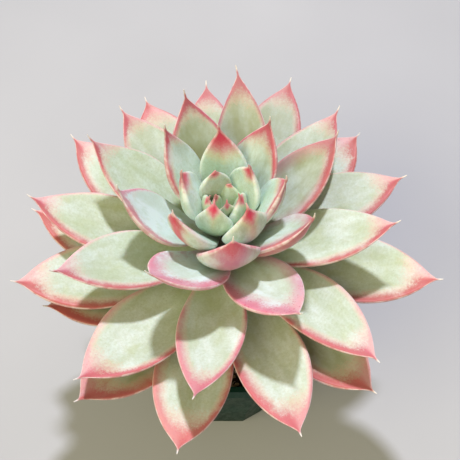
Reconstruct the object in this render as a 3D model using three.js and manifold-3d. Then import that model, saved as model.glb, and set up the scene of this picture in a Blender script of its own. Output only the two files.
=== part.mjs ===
// A potted Echeveria lindsayana: a rosette of thick pointed leaves on a short stem, in potting
// soil, in a tapered twelve-sided nursery pot.
//
// Millimetres, +Z up. The origin is the middle of the pot's foot, on the surface it stands on.
// Leaves are numbered by age, 0 being the youngest. They stand on one spiral up the stem.
import * as THREE from 'three';
import { mergeVertices } from 'three/addons/utils/BufferGeometryUtils.js';
import Module from 'manifold-3d';

const wasm = await Module();
wasm.setup();

// Pot
const POT_SIDES = 12;
const POT_HEIGHT = 78;
const POT_TOP_RADIUS = 49.5;
const POT_FOOT_RADIUS = 33;
const RIM_HEIGHT = 6;
const RIM_OVERHANG = 1.6;
const POT_WALL = 1.8;
const FLOOR_THICKNESS = 2.5;
const DRAIN_SLOTS = 6;
const DRAIN_WIDTH = 5;
const DRAIN_LENGTH = 16;
const DRAIN_INNER_RADIUS = 22;
const DRAIN_RISE = 6;
// A quarter of the way from one slot to the next is the middle of a flat side.
const DRAIN_OFFSET = 0.25;

// Soil
const SOIL_DEPTH_BELOW_RIM = 7;
const SOIL_TOP = POT_HEIGHT - SOIL_DEPTH_BELOW_RIM;
const SOIL_MOUND = 2;
const MOUND_SHOULDER = { radiusShare: 0.6, dropShare: 0.3 };
const MOUND_TOP_RADIUS = 8.25;

// Stem
const CROWN_HEIGHT = 139.5;
const STEM_TOP = CROWN_HEIGHT - 15;
const STEM_TOP_RADIUS = 1.8;
const STEM_NECK_RADIUS = 6.5;
const STEM_NECK = CROWN_HEIGHT - 56;
const STEM_DEPTH_IN_SOIL = 22;
const STEM_SIDES = 16;
const STEM_STEPS = 5;
const ROOT_RADIUS = 5.5;
const ROOT_TIP = SOIL_TOP - STEM_DEPTH_IN_SOIL;

// Spiral
const OLDEST_LEAF = 50;
const FALLEN_LEAVES = [46, 47, 48, 49];
const BUD_LEAVES = 6;
const FIRST_OLD_LEAF = 22;
const DIVERGENCE = 137.7;
const FIRST_AZIMUTH = 148;
const NODE_SPACING = 0.85;

// Rosette: a leaf's tip moves out with age and lies on a dome with a dimple over the bud.
const ROSETTE_RADIUS = 79;
const HALF_OPEN_AGE = 18;
const OPENING_AGES = 5.4;
const DOME_FOOT = CROWN_HEIGHT - 45;
const DOME_HEIGHT = 60;
const DOME_RADIUS = 79.5;
const DIMPLE_DEPTH = 25;
const DIMPLE_RADIUS = 10;

// Leaf outline
const LEAF_WIDTH = 27;
const WIDENING_AGES = 13;
const BUD_START = 3;
const BASE_SHIFT = 0.4;
const YOUNG_TIP_POWER = 1.75;
const OLD_TIP_POWER = 1.15;
const TIP_POWER_AGES = [8, 36];
const WIDEST_WHEN_YOUNG = 0.53;
const WIDEST_WHEN_OLD = 0.61;
const WIDEST_AGES = [25, 40];
const STRAIGHTENING_AGES = [28, 36];

// Leaf bend, greatest in the half-open leaves
const BEND = 28;
const HALF_OPEN_BEND = 36;
const MOST_BENT_AGE = 12;
const BENT_AGES = 8;

// Leaf section, as shares of half its width. Young leaves are plump, with a slightly domed face.
const YOUNG_HOLLOW_SHARE = -0.06;
const OLD_HOLLOW_SHARE = 0.2;
const YOUNG_THICKNESS_SHARE = 0.9;
const OLD_THICKNESS_SHARE = 0.5;
const SLIMMING_AGES = [8, 22];
const HOLLOW_END = 1.1;
const THINNING = 0.35;
const LIFT_SHARE = 0.4;
const LEAST_HALF_WIDTH = 0.4;
const LEAST_THICKNESS = 0.6;
const LEAST_SEAT_RADIUS = 0.2;

// Places along a leaf, and the corners of its section: across, share of the hollow, share of the keel.
const STATIONS = [0, 0.12, 0.25, 0.38, 0.5, 0.62, 0.73, 0.83, 0.91, 0.97, 1];
const SECTION = [
  [-1, 1, 0], [-0.5, 0.28, 0], [0, 0, 0], [0.5, 0.28, 0],
  [1, 1, 0], [0.55, 0.3, 0.75], [0, 0, 1], [-0.55, 0.3, 0.75],
];

// Clearances
const GAP = 0.3;
const SEAT_DEPTH = 1.5;
const WELD_DISTANCE = 1e-4;

// How single leaves' tips depart from the rule: sideways in degrees, then outward and upward in mm.
const DEPARTURES = {
  0: [0, 0, -1],
  1: [6, 2, 3],
  2: [-5, 3, -3],
  3: [0, 0, -1],
  4: [0, 1, 0],
  5: [-4, -1, 2],
  6: [-1, 0, 1],
  7: [1, 2, 1],
  8: [-1, 3, 1],
  9: [0, 1, 0],
  10: [9, 5, 2],
  11: [2, 5, 1],
  12: [-3, 2, -1],
  13: [-1, 4, 2],
  14: [3, 0, 0],
  15: [1, 0, 0],
  16: [-2, 2, 1],
  17: [3, -2, 1],
  18: [3, 1, 0],
  19: [-8, -1, 1],
  20: [6, -1, 1],
  21: [-4, 1, 1],
  22: [1, -1, 0],
  23: [10, 1, 1],
  24: [-5, 3, 1],
  25: [2, -1, 0],
  26: [2, -4, -2],
  27: [-3, 3, -1],
  28: [4, -2, -1],
  29: [-8, 0, 1],
  30: [-6, 3, -1],
  31: [-1, -4, -2],
  32: [-3, 2, 0],
  33: [6, -2, 0],
  34: [-6, -2, 0],
  35: [1, 4, -1],
  36: [4, 2, 2],
  37: [-8, 0, 1],
  38: [6, 3, 1],
  39: [-3, -2, -1],
  40: [4, 3, -1],
  41: [9, -3, -1],
  42: [-3, -4, -1],
  43: [2, 0, 0],
  44: [0, -12, 0],
  45: [7, 0, 0],
  50: [8, -10, -1],
};

// How single leaves depart from the common form: share of the width, shift of the widest place, a
// sharper or blunter taper, degrees of extra bend and of roll about the leaf's own length, and how
// much of the sideways departure starts at its base.
const HABITS = {
  2: { width: 1.05 },
  3: { width: 1.12 },
  4: { width: 1.1 },
  6: { width: 0.98, bend: 30, roll: 8 },
  7: { width: 1.12 },
  8: { width: 1.1, bend: -20, roll: 8 },
  9: { width: 1.05, bend: 20, roll: -5 },
  10: { width: 1.02, widest: -0.06, taper: 0.4 },
  11: { width: 0.86, bend: -10, taper: -0.1, lean: 9 },
  12: { width: 0.95, bend: -20, roll: -10 },
  13: { width: 0.84, bend: -26, roll: 10 },
  14: { width: 1.08, bend: 10 },
  15: { bend: -15, roll: -10 },
  17: { roll: -10 },
  19: { width: 1.05, bend: -12, roll: -6, taper: -0.45, widest: 0.08, lean: -1.2 },
  20: { taper: -0.3 },
  21: { lean: 1 },
  22: { width: 1.05, taper: -0.15 },
  23: { width: 0.88 },
  24: { width: 1.06, lean: 1.4 },
  25: { taper: -0.15 },
  27: { width: 0.96 },
  29: { lean: 0.6, taper: -0.1 },
  30: { width: 0.94, lean: -0.5 },
  32: { width: 1.1, lean: -0.3 },
  33: { lean: 1.8 },
  34: { lean: 0.5 },
  35: { lean: 3.5 },
  37: { width: 1.06, lean: 0.8 },
  38: { width: 1.08, lean: 1.6 },
  39: { width: 1.1 },
  40: { width: 1.04, lean: 0.5 },
  41: { width: 1.08, lean: 1.3, taper: -0.2 },
  42: { width: 1.12 },
  43: { lean: 2.5 },
  45: { width: 1.1, lean: 1.3 },
};

const radians = THREE.MathUtils.degToRad;

function solidOf(geometry) {
  const bare = geometry.clone();
  bare.deleteAttribute('normal');
  bare.deleteAttribute('uv');
  const merged = mergeVertices(bare, WELD_DISTANCE);
  return new wasm.Manifold(new wasm.Mesh({
    numProp: 3,
    vertProperties: new Float32Array(merged.attributes.position.array),
    triVerts: new Uint32Array(merged.index.array),
  }));
}

function geometryOf(solid) {
  const mesh = solid.getMesh();
  const geometry = new THREE.BufferGeometry();
  geometry.setAttribute('position', new THREE.BufferAttribute(mesh.vertProperties, 3));
  geometry.setIndex(new THREE.BufferAttribute(mesh.triVerts, 1));
  return geometry;
}

// Turns a profile of [radius, height] pairs about +Z.
function turned(profile, sides) {
  const points = profile.map(([radius, height]) => new THREE.Vector2(radius, height));
  const geometry = new THREE.LatheGeometry(points, sides);
  geometry.rotateX(Math.PI / 2);
  geometry.rotateZ(Math.PI / sides);
  return solidOf(geometry);
}

function largestPieceOf(solid) {
  const pieces = solid.decompose();
  return pieces.reduce((best, piece) => (piece.volume() > best.volume() ? piece : best));
}

// Share of the way from young to old between two ages.
function ageingOf(age, [youngAge, oldAge]) {
  return THREE.MathUtils.smoothstep(age, youngAge, oldAge);
}

// Leaf

function reachOf(age) {
  return ROSETTE_RADIUS / (1 + Math.exp((HALF_OPEN_AGE - age) / OPENING_AGES));
}

function domeHeight(reach) {
  const dome = DOME_HEIGHT * Math.sqrt(Math.max(0, 1 - (reach / DOME_RADIUS) ** 2));
  const dimple = DIMPLE_DEPTH * Math.exp(-reach / DIMPLE_RADIUS);
  return DOME_FOOT + dome - dimple;
}

function stemRadiusAt(height) {
  const share = THREE.MathUtils.clamp((STEM_TOP - height) / (STEM_TOP - STEM_NECK), 0, 1);
  return STEM_TOP_RADIUS + (STEM_NECK_RADIUS - STEM_TOP_RADIUS) * Math.sqrt(share);
}

function leafPlan(age) {
  const [turn, outward, upward] = DEPARTURES[age] ?? [0, 0, 0];
  const habit = HABITS[age] ?? {};
  const reach = reachOf(age);
  const node = STEM_TOP - NODE_SPACING * age;
  const seat = Math.max(LEAST_SEAT_RADIUS, stemRadiusAt(node) - SEAT_DEPTH);
  const halfOpen = Math.exp(-(((age - MOST_BENT_AGE) / BENT_AGES) ** 2));
  const grown = 1 - Math.exp(-(age + BUD_START) / WIDENING_AGES);
  const tipPowerLoss = (YOUNG_TIP_POWER - OLD_TIP_POWER) * ageingOf(age, TIP_POWER_AGES);
  const slimmed = ageingOf(age, SLIMMING_AGES);
  const widestGain = (WIDEST_WHEN_OLD - WIDEST_WHEN_YOUNG) * ageingOf(age, WIDEST_AGES);
  return {
    azimuth: radians(FIRST_AZIMUTH + DIVERGENCE * age),
    sweep: radians(turn),
    lean: habit.lean ?? ageingOf(age, STRAIGHTENING_AGES),
    tip: new THREE.Vector2(reach + outward, domeHeight(reach) + upward),
    base: new THREE.Vector2(seat, node),
    width: LEAF_WIDTH * grown * (habit.width ?? 1),
    bend: radians(BEND + HALF_OPEN_BEND * halfOpen + (habit.bend ?? 0)),
    roll: radians(habit.roll ?? 0),
    tipPower: YOUNG_TIP_POWER - tipPowerLoss + (habit.taper ?? 0),
    widest: WIDEST_WHEN_YOUNG + widestGain + (habit.widest ?? 0),
    hollowShare: YOUNG_HOLLOW_SHARE + (OLD_HOLLOW_SHARE - YOUNG_HOLLOW_SHARE) * slimmed,
    thicknessShare: YOUNG_THICKNESS_SHARE + (OLD_THICKNESS_SHARE - YOUNG_THICKNESS_SHARE) * slimmed,
  };
}

// Share of the full width, from the narrow base over the widest place to the drawn-out point.
function widthShare(along, { widest, tipPower }) {
  const basePower = (BASE_SHIFT + widest) * tipPower / (1 - widest);
  const shape = (place) => (place + BASE_SHIFT) ** basePower * (1 - place) ** tipPower;
  return shape(along) / shape(widest);
}

// A leaf's mid line is an arc in the upright plane of its azimuth. Its upper face is hollowed and
// its lower face is keeled.
function leafGeometry(plan, grow = 0) {
  const chord = plan.tip.clone().sub(plan.base);
  const start = Math.atan2(chord.y, chord.x) - plan.bend / 2;
  const arcRadius = chord.length() / (2 * Math.sin(plan.bend / 2));
  const positions = [];
  STATIONS.forEach((along) => {
    const azimuth = plan.azimuth + plan.sweep * (plan.lean + (1 - plan.lean) * along ** 2);
    const pitch = start + plan.bend * along;
    const pastEnd = (Number(along === 1) - Number(along === 0)) * grow;
    const arcOutward = arcRadius * (Math.sin(pitch) - Math.sin(start));
    const arcUpward = -arcRadius * (Math.cos(pitch) - Math.cos(start));
    const outward = plan.base.x + arcOutward + pastEnd * Math.cos(pitch);
    const upward = plan.base.y + arcUpward + pastEnd * Math.sin(pitch);
    const half = Math.max(LEAST_HALF_WIDTH, plan.width / 2 * widthShare(along, plan));
    const hollow = half * plan.hollowShare * Math.sin(Math.PI * Math.min(1, along * HOLLOW_END));
    const thick = Math.max(LEAST_THICKNESS, half * plan.thicknessShare * (1 - THINNING * along));
    SECTION.forEach(([across, rise, keel]) => {
      const skin = keel > 0 ? -keel * thick - grow : grow;
      const flatSide = across * half + Math.sign(across) * grow;
      const flatLift = rise * hollow + thick * LIFT_SHARE + skin;
      const sideways = flatSide * Math.cos(plan.roll) - flatLift * Math.sin(plan.roll);
      const lift = flatSide * Math.sin(plan.roll) + flatLift * Math.cos(plan.roll);
      const radial = outward - lift * Math.sin(pitch);
      const height = upward + lift * Math.cos(pitch);
      positions.push(
        radial * Math.cos(azimuth) - sideways * Math.sin(azimuth),
        radial * Math.sin(azimuth) + sideways * Math.cos(azimuth),
        height,
      );
    });
  });
  const ring = SECTION.length;
  const index = [];
  for (let station = 0; station < STATIONS.length - 1; station += 1) {
    for (let corner = 0; corner < ring; corner += 1) {
      const a = station * ring + corner;
      const b = station * ring + (corner + 1) % ring;
      index.push(a, a + ring, b, b, a + ring, b + ring);
    }
  }
  const last = (STATIONS.length - 1) * ring;
  for (let corner = 1; corner < ring - 1; corner += 1) {
    index.push(0, corner, corner + 1);
    index.push(last, last + corner + 1, last + corner);
  }
  const geometry = new THREE.BufferGeometry();
  geometry.setAttribute('position', new THREE.BufferAttribute(new Float32Array(positions), 3));
  geometry.setIndex(index);
  return geometry;
}

function leafSolid(age, grow) {
  return solidOf(leafGeometry(leafPlan(age), grow));
}

// Stem, with the youngest leaves grown together round its tip

function stemSolid(grow = 0) {
  const profile = [[0, ROOT_TIP - grow]];
  profile.push([ROOT_RADIUS + grow, ROOT_TIP - grow]);
  profile.push([ROOT_RADIUS + grow, SOIL_TOP]);
  for (let step = 0; step <= STEM_STEPS; step += 1) {
    const height = STEM_NECK + (STEM_TOP - STEM_NECK) * step / STEM_STEPS;
    profile.push([stemRadiusAt(height) + grow, height]);
  }
  profile.push([0, STEM_TOP + 2 * grow]);
  return turned(profile, STEM_SIDES);
}

function crownSolid() {
  let crown = stemSolid();
  for (let age = 0; age < BUD_LEAVES; age += 1) {
    crown = crown.add(leafSolid(age, 0));
  }
  return largestPieceOf(crown);
}

// An older leaf gives way to the younger leaves above it and to the stem it sits on.
function looseLeafSolid(age, keepClear) {
  return largestPieceOf(leafSolid(age, 0).subtract(keepClear));
}

// Pot

function wallRadiusAt(height) {
  const rimFoot = POT_HEIGHT - RIM_HEIGHT;
  const taper = (POT_TOP_RADIUS - RIM_OVERHANG - POT_FOOT_RADIUS) / rimFoot;
  return POT_FOOT_RADIUS + taper * height;
}

function drainSlots() {
  const slots = [];
  for (let slot = 0; slot < DRAIN_SLOTS; slot += 1) {
    const box = new THREE.BoxGeometry(DRAIN_LENGTH, DRAIN_WIDTH, 2 * DRAIN_RISE);
    box.translate(DRAIN_INNER_RADIUS + DRAIN_LENGTH / 2, 0, 0);
    box.rotateZ((slot + DRAIN_OFFSET) * 2 * Math.PI / DRAIN_SLOTS);
    slots.push(solidOf(box));
  }
  return wasm.Manifold.union(slots);
}

function potSolid() {
  const rimFoot = POT_HEIGHT - RIM_HEIGHT;
  const body = turned([
    [0, 0],
    [POT_FOOT_RADIUS, 0],
    [wallRadiusAt(rimFoot), rimFoot],
    [POT_TOP_RADIUS, rimFoot],
    [POT_TOP_RADIUS, POT_HEIGHT],
    [wallRadiusAt(POT_HEIGHT) - POT_WALL, POT_HEIGHT],
    [wallRadiusAt(FLOOR_THICKNESS) - POT_WALL, FLOOR_THICKNESS],
    [0, FLOOR_THICKNESS],
  ], POT_SIDES);
  return body.subtract(drainSlots());
}

// The soil fills the pot, mounds up a little to the stem, and has a plain hole for it.
function soilSolid() {
  const sideGap = GAP / Math.cos(Math.PI / POT_SIDES);
  const soilRadiusAt = (height) => wallRadiusAt(height) - POT_WALL - sideGap;
  const bottom = FLOOR_THICKNESS + GAP;
  const edge = SOIL_TOP - SOIL_MOUND;
  const shoulderRadius = soilRadiusAt(edge) * MOUND_SHOULDER.radiusShare;
  const holeRadius = ROOT_RADIUS + GAP / Math.cos(Math.PI / STEM_SIDES);
  const hole = turned([
    [0, ROOT_TIP - GAP],
    [holeRadius, ROOT_TIP - GAP],
    [holeRadius, POT_HEIGHT],
    [0, POT_HEIGHT],
  ], STEM_SIDES);
  const filling = turned([
    [0, bottom],
    [soilRadiusAt(bottom), bottom],
    [soilRadiusAt(edge), edge],
    [shoulderRadius, SOIL_TOP - SOIL_MOUND * MOUND_SHOULDER.dropShare],
    [MOUND_TOP_RADIUS, SOIL_TOP],
    [0, SOIL_TOP],
  ], POT_SIDES);
  return filling.subtract(hole);
}

const GREEN_PLASTIC = new THREE.MeshStandardMaterial({ color: 0x2f5d50, roughness: 0.5 });
const SOIL = new THREE.MeshStandardMaterial({ color: 0x4a3a2c, roughness: 1 });
const YOUNG_LEAF = new THREE.MeshStandardMaterial({ color: 0xb4d2bd, roughness: 0.6 });
const OLD_LEAF = new THREE.MeshStandardMaterial({ color: 0xcfd9b4, roughness: 0.55 });

const group = new THREE.Group();

function place(name, solid, material) {
  const mesh = new THREE.Mesh(geometryOf(solid), material);
  mesh.name = name;
  group.add(mesh);
}

place('pot', potSolid(), GREEN_PLASTIC);
place('soil', soilSolid(), SOIL);
place('stem_and_bud', crownSolid(), YOUNG_LEAF);

let keepClear = stemSolid(GAP);
for (let age = 0; age <= OLDEST_LEAF; age += 1) {
  if (!FALLEN_LEAVES.includes(age)) {
    if (age >= BUD_LEAVES) {
      const name = `leaf_${String(age).padStart(2, '0')}`;
      place(name, looseLeafSolid(age, keepClear), age < FIRST_OLD_LEAF ? YOUNG_LEAF : OLD_LEAF);
    }
    keepClear = keepClear.add(leafSolid(age, GAP));
  }
}

export default group;
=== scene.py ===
"""Dresses the potted Echeveria lindsayana: fine fleshy leaves with red points, gritty soil and a
green plastic pot. Forms are worked out in millimetres and placed in metres."""

import math
import random

import bmesh
import bpy
import numpy as np
from mathutils import Euler, Matrix, Vector, noise


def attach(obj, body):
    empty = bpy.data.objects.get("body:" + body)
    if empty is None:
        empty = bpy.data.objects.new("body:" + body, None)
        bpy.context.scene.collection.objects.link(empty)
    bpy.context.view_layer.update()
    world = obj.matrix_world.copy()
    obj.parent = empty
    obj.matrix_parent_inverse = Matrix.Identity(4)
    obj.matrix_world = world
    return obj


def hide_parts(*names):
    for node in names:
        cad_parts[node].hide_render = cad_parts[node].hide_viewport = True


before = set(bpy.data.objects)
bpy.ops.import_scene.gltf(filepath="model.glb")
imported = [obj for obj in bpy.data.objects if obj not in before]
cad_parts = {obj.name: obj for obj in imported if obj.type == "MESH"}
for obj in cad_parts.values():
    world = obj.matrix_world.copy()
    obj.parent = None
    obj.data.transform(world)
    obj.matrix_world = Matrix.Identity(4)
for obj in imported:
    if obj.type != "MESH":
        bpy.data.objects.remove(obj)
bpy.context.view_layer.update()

MM = 0.001

# Pot, as in the part, with its edges eased
POT_SIDES = 12
POT_HEIGHT = 78
POT_TOP_RADIUS = 49.5
POT_FOOT_RADIUS = 33
RIM_HEIGHT = 6
RIM_OVERHANG = 1.6
POT_WALL = 1.8
EDGE_EASING = 0.6
EDGE_EASING_STEPS = 3
EDGE_EASING_FROM_ANGLE = 20

# Soil, as in the part, with a rough top
SOIL_TOP = 71
SOIL_MOUND = 2
MOUND_SLOPE = (0.2, 1.0)
SOIL_BOTTOM = 3
SOIL_BOTTOM_HOLE = 3
SOIL_CLEARANCE = 0.35
SOIL_RINGS = 60
SOIL_SPOKES = 144
INNERMOST_RING = 0.05
SOIL_ROUGHNESS = 0.9
CLOD_SHARE = 0.9
CLOD_FREQUENCY = 0.35
CRUMB_SHARE = 0.5
CRUMB_FREQUENCY = 1.4

# Grains lying on the soil: how many are drawn, and their sizes and shapes
GRAINS = 420
GRAIN_SEED = 5
GRAIN_RADII = (0.6, 0.9, 1.2, 1.7, 2.4)
GRAIN_SPREAD = (0.8, 1.2)
GRAIN_BREADTH = (0.5, 0.9)
GRAIN_THICKNESS = (0.4, 0.8)
GRAIN_ROUGHNESS = 0.18
GRAIN_TURN = 6.28
GRAIN_RISE = 0.2
WALL_MARGIN = 4
STEM_MARGIN = 1.5

# Stem
CROWN_HEIGHT = 139.5
STEM_TOP = CROWN_HEIGHT - 15
STEM_TOP_RADIUS = 1.8
STEM_NECK_RADIUS = 6.5
STEM_NECK = CROWN_HEIGHT - 56
ROOT_RADIUS = 5.5
ROOT_TIP = 52
ROOT_STEPS = 56
NECK_STEPS = 30
STEM_SPOKES = 48
STEM_WAVE = 0.12
STEM_WAVES_ROUND = 3
STEM_WAVES_UP = 0.6

# Scars of fallen leaves on the stem
SCARRED_AGES = (46, 66)
SCAR_TOP = STEM_NECK + 4
SCAR_WIDTH = 3.2
SCAR_HEIGHT = 1.1
SCAR_RIM = 0.35
SCAR_PIT = 0.25
SCAR_SHARPNESS = 3

# Spiral
OLDEST_LEAF = 50
FALLEN_LEAVES = (46, 47, 48, 49)
BUD_LEAVES = 6
FIRST_OLD_LEAF = 22
DIVERGENCE = 137.7
FIRST_AZIMUTH = 148
NODE_SPACING = 0.85

# Rosette: a leaf's tip moves out with age and lies on a dome with a dimple over the bud
ROSETTE_RADIUS = 79
HALF_OPEN_AGE = 18
OPENING_AGES = 5.4
DOME_FOOT = CROWN_HEIGHT - 45
DOME_HEIGHT = 60
DOME_RADIUS = 79.5
DIMPLE_DEPTH = 25
DIMPLE_RADIUS = 10

# Leaf outline
LEAF_WIDTH = 27
WIDENING_AGES = 13
BUD_START = 3
BASE_SHIFT = 0.4
YOUNG_TIP_POWER = 1.75
OLD_TIP_POWER = 1.15
TIP_POWER_AGES = (8, 36)
WIDEST_WHEN_YOUNG = 0.53
WIDEST_WHEN_OLD = 0.61
WIDEST_AGES = (25, 40)
TIP_WAIST = 0.3
WAIST_LENGTH = 0.06
POINTED_AGES = (8, 20)
POINT_LENGTHS = (0.7, 1.8)
POINT_RADIUS = (0.16, 0.45)

# Leaf bend, greatest in the half-open leaves. Between the last two ages a leaf comes to depart
# from its direction as a whole, where a younger one only turns towards its tip.
BEND = 28
HALF_OPEN_BEND = 36
MOST_BENT_AGE = 12
BENT_AGES = 8
STRAIGHTENING_AGES = (28, 36)

# Leaf section, as shares of half its width. Young leaves are plump, with a slightly domed face.
YOUNG_HOLLOW_SHARE = -0.06
OLD_HOLLOW_SHARE = 0.2
YOUNG_THICKNESS_SHARE = 0.9
OLD_THICKNESS_SHARE = 0.5
SLIMMING_AGES = (8, 22)
HOLLOW_END = 1.1
UPPER_HOLLOW_POWER = 1.84
UNDER_HOLLOW_POWER = 2
THINNING = 0.35
LIFT_SHARE = 0.4
KEEL_POWERS = (1.75, 1.3)
KEEL_SHARPENING = (0.4, 0.95)
KEEL_FULLNESS = 0.55
LEAST_SEAT_RADIUS = 0.2
SEAT_DEPTH = 1.5

# Soft margin of a leaf
MARGIN_RADIUS = 0.9
MARGIN_DROP_SHARE = 0.3
MARGIN_REACH = 1.1
WIDEST_MARGIN_SHARE = 0.5

# Low relief of a leaf: its ripple, and how its tip turns up
RIPPLE_RELIEF = 0.7
RIPPLE_FADE = (1, 9)
RIPPLE_WAVES = (3.2, 1.4, 5)
RIPPLE_OFFSETS = (7.3, 1.7)
MARGIN_RIPPLE = 0.02
FULL_HALF_WIDTH = 13
TIP_UPTURN = 0.5
TIP_UPTURN_LENGTH = 3

# Points along a fine leaf, closer towards its tip, and round its section
ALONG_STEPS = 54
TIP_CROWDING = 1.7
UPPER_STEPS = 24
UNDER_STEPS = 20

# How each leaf's tip departs from the rule: degrees round the stem, mm outwards and mm upwards
DEPARTURES = {
    0: (0, 0, -1),
    1: (6, 2, 3),
    2: (-5, 2.6, -2.4),
    3: (0, 0, -1),
    4: (0, 1, 0),
    5: (-4, -1, 2),
    6: (-1, 0, 1),
    7: (1, 2, 1),
    8: (-1, 3, 1),
    9: (0, 1, 0),
    10: (9, 5, 2),
    11: (2, 5, 1),
    12: (-3, 2, -1),
    13: (-1, 4, 2),
    14: (3, 0, 0),
    15: (1, 0, 0),
    16: (-2, 2, 1),
    17: (3, -2, 1),
    18: (3, 1, 0),
    19: (-8, -1, 1),
    20: (6, -1, 1),
    21: (-4, 1, 1),
    22: (1, -1, 0),
    23: (10, 1, 1),
    24: (-5, 3, 1),
    25: (2, -1, 0),
    26: (2, -4, -2),
    27: (-3, 3, -1),
    28: (4, -2, -1),
    29: (-8, 0, 1),
    30: (-6, 3, -1),
    31: (-1, -4, -2),
    32: (-3, 2, 0),
    33: (6, -2, 0),
    34: (-6, -2, 0),
    35: (1, 4, -1),
    36: (4, 2, 2),
    37: (-8, 0, 1),
    38: (6, 3, 1),
    39: (-3, -2, -1),
    40: (4, 3, -1),
    41: (9, -3, -1),
    42: (-3, -4, -1),
    43: (2, 0, 0),
    44: (0, -12, 0),
    45: (7, 0, 0),
    50: (8, -10, -1),
}

# Habits of single leaves: width as a share of the usual; degrees more of bend and of roll; how much
# sharper (or blunter, below 0) the tip tapers; how much further out the leaf is widest; and the share
# of its departure round the stem that its base takes too.
HABITS = {
    2: {"width": 1.4, "taper": -0.6, "lean": -5},
    3: {"width": 1.12},
    4: {"width": 1.1},
    5: {"taper": -0.3},
    6: {"width": 0.97, "bend": 30, "roll": 8, "taper": -0.3},
    7: {"width": 1.12},
    8: {"width": 1.1, "bend": -20, "roll": 8},
    9: {"width": 1.05, "bend": 20, "roll": -5},
    10: {"width": 1.02, "widest": -0.06, "taper": 0.4},
    11: {"width": 0.86, "bend": -10, "taper": -0.6, "widest": 0.08, "lean": 9},
    12: {"width": 0.95, "bend": -20, "roll": -10},
    13: {"width": 0.84, "bend": -26, "roll": 10},
    14: {"width": 1.08, "bend": 10, "taper": -0.55, "widest": 0.03},
    15: {"bend": -15, "roll": -10},
    17: {"roll": -10},
    19: {"width": 1.05, "bend": -12, "roll": -6, "taper": -0.45, "widest": 0.08, "lean": -1.2},
    20: {"taper": -0.3},
    21: {"lean": 1},
    22: {"width": 1.05, "taper": -0.15},
    23: {"width": 0.88},
    24: {"width": 1.06, "lean": 1.4},
    25: {"taper": -0.15},
    27: {"width": 0.96},
    29: {"lean": 0.6, "taper": -0.1},
    30: {"width": 0.94, "lean": -0.5},
    32: {"width": 1.1, "lean": -0.3},
    33: {"lean": 1.8},
    34: {"lean": 0.5},
    35: {"lean": 3.5},
    37: {"width": 1.06, "lean": 0.8},
    38: {"width": 1.08, "lean": 1.6},
    39: {"width": 1.1},
    40: {"width": 1.04, "lean": 0.5},
    41: {"width": 1.08, "lean": 1.3, "taper": -0.2},
    42: {"width": 1.12},
    43: {"lean": 2.5},
    45: {"width": 1.1, "lean": 1.3},
}


def smooth_step(value, low, high):
    share = np.clip((value - low) / (high - low), 0, 1)
    return share * share * (3 - 2 * share)


def blend(first, second, share):
    return first + (second - first) * share


def angles_round(count):
    return [2 * math.pi * step / count for step in range(count)]


# Leaf form


def stem_radius_at(height):
    share = min(1, max(0, (STEM_TOP - height) / (STEM_TOP - STEM_NECK)))
    return STEM_TOP_RADIUS + (STEM_NECK_RADIUS - STEM_TOP_RADIUS) * math.sqrt(share)


def node_height(age):
    return STEM_TOP - NODE_SPACING * age


def azimuth_of(age, turn=0):
    return math.radians(FIRST_AZIMUTH + DIVERGENCE * age + turn)


def reach_of(age):
    return ROSETTE_RADIUS / (1 + math.exp((HALF_OPEN_AGE - age) / OPENING_AGES))


def dome_height(reach):
    dome = DOME_HEIGHT * math.sqrt(max(0, 1 - (reach / DOME_RADIUS) ** 2))
    return DOME_FOOT + dome - DIMPLE_DEPTH * math.exp(-reach / DIMPLE_RADIUS)


def width_share(along, widest, tip_power, waist):
    base_power = (BASE_SHIFT + widest) * tip_power / (1 - widest)

    def shape(place):
        return (place + BASE_SHIFT) ** base_power * (1 - place) ** tip_power

    narrowing = waist * np.exp(-(((1 - along) / WAIST_LENGTH) ** 2))
    return shape(along) / shape(widest) * (1 - narrowing)


def section_places():
    """Places round a leaf's section: across it from -1 to 1, and 1 on the under face."""
    upper = -np.cos(np.pi * np.arange(UPPER_STEPS + 1) / UPPER_STEPS)
    under = np.cos(np.pi * np.arange(1, UNDER_STEPS) / UNDER_STEPS)
    across = np.concatenate([upper, under])
    face = np.concatenate([np.zeros(len(upper)), np.ones(len(under))])
    return across[None, :], face[None, :]


def widths_along(age, along, length):
    """Radius of the drawn-out point, and half the leaf's width, in mm, from base to tip."""
    habit = HABITS.get(age, {})
    tip_power = blend(YOUNG_TIP_POWER, OLD_TIP_POWER, smooth_step(age, *TIP_POWER_AGES))
    tip_power += habit.get("taper", 0)
    widest = blend(WIDEST_WHEN_YOUNG, WIDEST_WHEN_OLD, smooth_step(age, *WIDEST_AGES))
    widest += habit.get("widest", 0)
    widening = 1 - math.exp(-(age + BUD_START) / WIDENING_AGES)
    width = LEAF_WIDTH * widening * habit.get("width", 1)
    pointed = smooth_step(age, *POINTED_AGES)
    point_length = np.interp(pointed, (0, 1), POINT_LENGTHS)
    point = np.interp((1 - along) * length / (2 * point_length), (0, 1), POINT_RADIUS)
    blade = np.clip(along * length / (length - point_length), 0, 1)
    half = width / 2 * width_share(blade, widest, tip_power, TIP_WAIST * pointed)
    return point, np.maximum(point, half)


def ripple_over(age, along, across, face):
    """Slow random relief over a leaf, from about -1 to 1, with its own on each leaf."""
    start = Vector((RIPPLE_OFFSETS[0] * age, RIPPLE_OFFSETS[1] * age, 0))
    wave_along, wave_across, wave_face = RIPPLE_WAVES
    rows = []
    for a in along[:, 0]:
        steps = [(wave_along * a, wave_across * x, wave_face * f) for x, f in zip(across[0], face[0])]
        rows.append([noise.noise(start + Vector(step)) for step in steps])
    return np.array(rows)


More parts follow.
